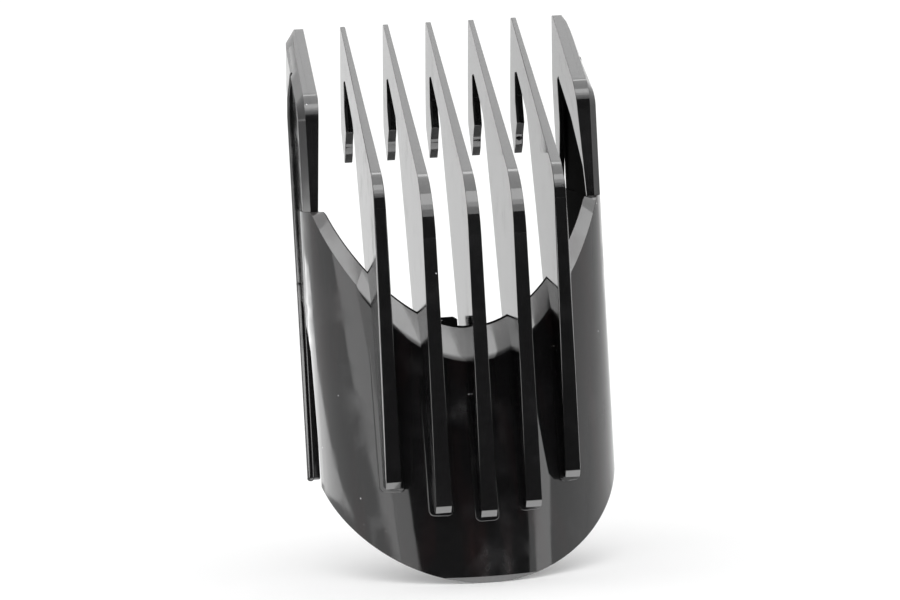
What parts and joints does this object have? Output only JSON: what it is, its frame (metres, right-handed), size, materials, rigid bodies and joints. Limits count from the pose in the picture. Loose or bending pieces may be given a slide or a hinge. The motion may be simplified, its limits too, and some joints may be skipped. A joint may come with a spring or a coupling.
{
  "type": "clipper guard comb",
  "caption": "Slide-on guard comb for a hair clipper: open hood, slim teeth with rear spurs, wide side arms, guide rails and latch legs.",
  "frame": {"origin": "centre of the bounding box at its lowest height, the lowest point of the hood's front rim", "axes": "+Z along the guide rails towards the tooth tips, -Y towards the front of the hood, +X to the right seen from the front"},
  "size_m": [0.0502, 0.0491, 0.0881],
  "materials": {
    "hood_black": "gloss, lightly handled",
    "tooth_black": "gloss",
    "arm_black": "gloss",
    "leg_black": "gloss, slightly worn by sliding"
  },
  "bodies": {
    "comb": {"hood_shell": "hood_black", "tooth_1": "tooth_black", "tooth_2": "tooth_black", "tooth_3": "tooth_black", "tooth_4": "tooth_black", "tooth_5": "tooth_black", "left_arm": "arm_black", "right_arm": "arm_black", "left_end_tooth": "arm_black", "right_end_tooth": "arm_black", "left_rail": "leg_black", "right_rail": "leg_black", "stop_lug": "hood_black"},
    "left_leg": {"left_latch_leg": "leg_black"},
    "right_leg": {"right_latch_leg": "leg_black"}
  },
  "joints": [
    {"name": "left_leg_flex", "type": "hinge", "parent": "comb", "child": "left_leg", "pos_m": [-0.02405, 0.0126, 0.0437], "axis": [0, 1, 0], "range_deg": [0, 4], "stiffness_Nm_per_rad": 0.02},
    {"name": "right_leg_flex", "type": "hinge", "parent": "comb", "child": "right_leg", "pos_m": [0.02405, 0.0126, 0.0437], "axis": [0, -1, 0], "range_deg": [0, 4], "stiffness_Nm_per_rad": 0.02}
  ]
}
